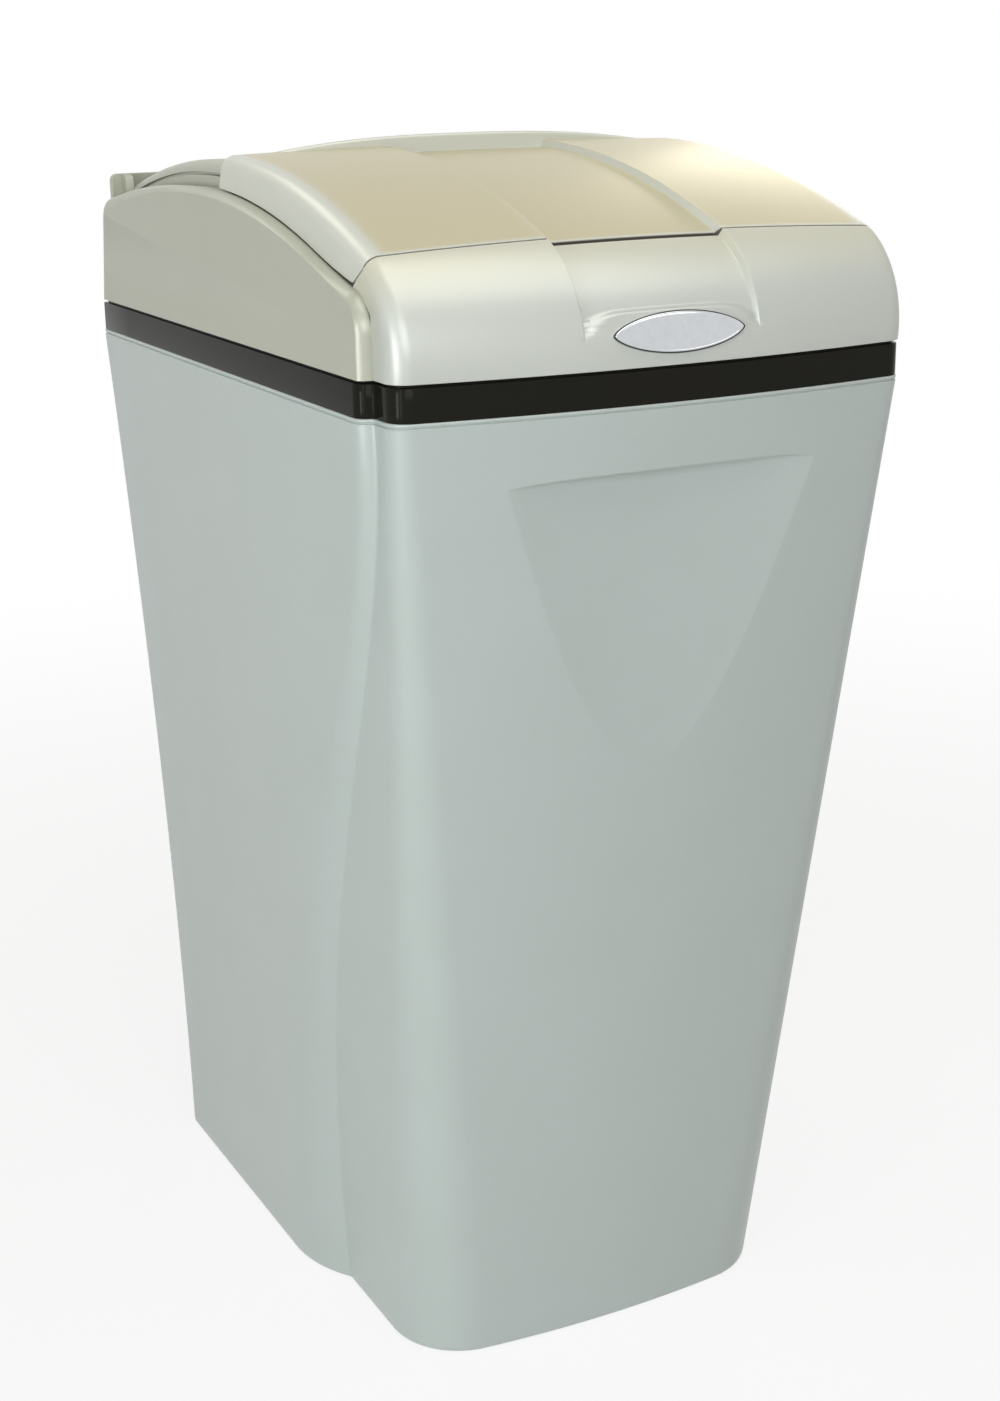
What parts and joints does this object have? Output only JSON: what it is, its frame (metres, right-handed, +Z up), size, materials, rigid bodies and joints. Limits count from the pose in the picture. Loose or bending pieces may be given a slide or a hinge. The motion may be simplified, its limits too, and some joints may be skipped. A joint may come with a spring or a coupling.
{
  "type": "water softener",
  "caption": "Upright cabinet water softener with a tapered moulded body, dark band, roll-back salt lid, resin tank, control valve and brine float.",
  "frame": {"origin": "on the ground under the middle of the whole object's box", "axes": "+Z up, the front with the badge faces -Y, the pipe connections leave along +Y"},
  "size_m": [0.4394, 0.652, 0.9564],
  "materials": {
    "cabinet_plastic": "satin, fine moulded grain",
    "smoke_band": "gloss",
    "cover_plastic": "satin",
    "lid_plastic": "semi-gloss",
    "chrome": "polished",
    "grid_plastic": "moulded",
    "white_tube": "extruded",
    "black_plastic": "moulded",
    "dark_fitting": "moulded",
    "white_fitting": "moulded",
    "float_foam": "closed-cell",
    "check_ball_plastic": "smooth",
    "clear_tube": "translucent",
    "wound_tank": "wound glass fibre in resin",
    "resin_beads": "bed of beads",
    "seal_rubber": "matte",
    "piston_plastic": "machined",
    "zinc_screw": "zinc plated",
    "gear_nylon": "moulded nylon",
    "pinion_brass": "machined",
    "motor_can": "drawn can",
    "case_plastic": "fine texture",
    "board": "solder mask",
    "display": "gloss",
    "button_plastic": "satin",
    "turbine_plastic": "moulded",
    "red_plastic": "moulded",
    "tail_plastic": "moulded"
  },
  "bodies": {
    "cabinet_body": {"cabinet": "cabinet_plastic", "trim_band": "smoke_band", "cover_frame": "cover_plastic", "front_cowl": "cover_plastic", "badge": "chrome", "salt_grid": "grid_plastic", "brine_well": "white_tube", "pickup_tube": "white_tube", "riser_tube": "white_tube", "tank_boot": "black_plastic", "valve_body": "black_plastic", "end_plug": "black_plastic", "brine_valve": "dark_fitting", "overflow_elbow": "dark_fitting", "overflow_nut": "dark_fitting", "injector_cap": "dark_fitting", "drain_elbow": "dark_fitting", "drive_plate": "dark_fitting", "bypass_body": "dark_fitting", "union_nuts": "dark_fitting", "check_cage": "white_fitting", "lower_basket": "white_fitting", "brine_elbow": "white_fitting", "flow_spider": "white_fitting", "spacers": "white_fitting", "brine_tube": "clear_tube", "resin_tank": "wound_tank", "resin_bed": "resin_beads", "seal_rings": "seal_rubber", "port_gaskets": "seal_rubber", "injector_screws": "zinc_screw", "plug_screws": "zinc_screw", "post_screws": "zinc_screw", "drive_motor": "motor_can", "case_back": "case_plastic", "controller_case": "case_plastic", "circuit_board": "board", "display_window": "display", "bypass_clips": "red_plastic", "port_tails": "tail_plastic"},
    "lid": {"salt_lid": "lid_plastic"},
    "well_cover": {"well_cap": "black_plastic"},
    "float_assembly": {"float_rod": "float_foam", "float": "float_foam"},
    "air_check": {"check_ball": "check_ball_plastic"},
    "gear": {"drive_gear": "gear_nylon"},
    "pinion": {"motor_pinion": "pinion_brass"},
    "piston_set": {"piston": "piston_plastic"},
    "meter_rotor": {"turbine": "turbine_plastic"},
    "key_left": {"button_left": "button_plastic"},
    "key_mid": {"button_mid": "button_plastic"},
    "key_right": {"button_right": "button_plastic"},
    "inlet_rotor": {"inlet_knob": "red_plastic"},
    "outlet_rotor": {"outlet_knob": "red_plastic"}
  },
  "joints": [
    {"name": "lid_slide", "type": "hinge", "parent": "cabinet_body", "child": "lid", "pos_m": [0, 0.04307, 0.14022], "axis": [-1, 0, 0], "range_deg": [0, 18]},
    {"name": "well_cap_lift", "type": "slide", "parent": "cabinet_body", "child": "well_cover", "axis": [0, 0, 1], "range_m": [0, 0.06]},
    {"name": "float_rise", "type": "slide", "parent": "cabinet_body", "child": "float_assembly", "axis": [0, 0, 1], "range_m": [0, 0.025]},
    {"name": "check_ball_rise", "type": "slide", "parent": "cabinet_body", "child": "air_check", "axis": [0, 0, 1], "range_m": [0, 0.03]},
    {"name": "gear_turn", "type": "hinge", "parent": "cabinet_body", "child": "gear", "pos_m": [0, 0.01797, 0.835], "axis": [0, 1, 0], "range_deg": [0, 1080]},
    {"name": "pinion_spin", "type": "hinge", "parent": "cabinet_body", "child": "pinion", "pos_m": [0.03539, 0.01797, 0.85978], "axis": [0, 1, 0], "range_deg": [-5400, 0]},
    {"name": "piston_stroke", "type": "slide", "parent": "cabinet_body", "child": "piston_set", "axis": [0, -1, 0], "range_m": [0, 0.024]},
    {"name": "turbine_spin", "type": "hinge", "parent": "cabinet_body", "child": "meter_rotor", "pos_m": [0.045, 0.17597, 0.835], "axis": [0, 1, 0], "continuous": true},
    {"name": "press_left", "type": "slide", "parent": "cabinet_body", "child": "key_left", "axis": [0, 1, 0], "range_m": [0, 0.0015], "stiffness_N_per_m": 600},
    {"name": "press_mid", "type": "slide", "parent": "cabinet_body", "child": "key_mid", "axis": [0, 1, 0], "range_m": [0, 0.0015], "stiffness_N_per_m": 600},
    {"name": "press_right", "type": "slide", "parent": "cabinet_body", "child": "key_right", "axis": [0, 1, 0], "range_m": [0, 0.0015], "stiffness_N_per_m": 600},
    {"name": "inlet_turn", "type": "hinge", "parent": "cabinet_body", "child": "inlet_rotor", "pos_m": [-0.045, 0.22447, 0.835], "axis": [0, 0, 1], "range_deg": [0, 90]},
    {"name": "outlet_turn", "type": "hinge", "parent": "cabinet_body", "child": "outlet_rotor", "pos_m": [0.045, 0.22447, 0.835], "axis": [0, 0, 1], "range_deg": [0, 90]}
  ],
  "couplings": [
    {"joint": "pinion_spin", "follows": "gear_turn", "ratio": -5},
    {"joint": "piston_stroke", "follows": "gear_turn", "m_per_rad": 0.0012732}
  ]
}
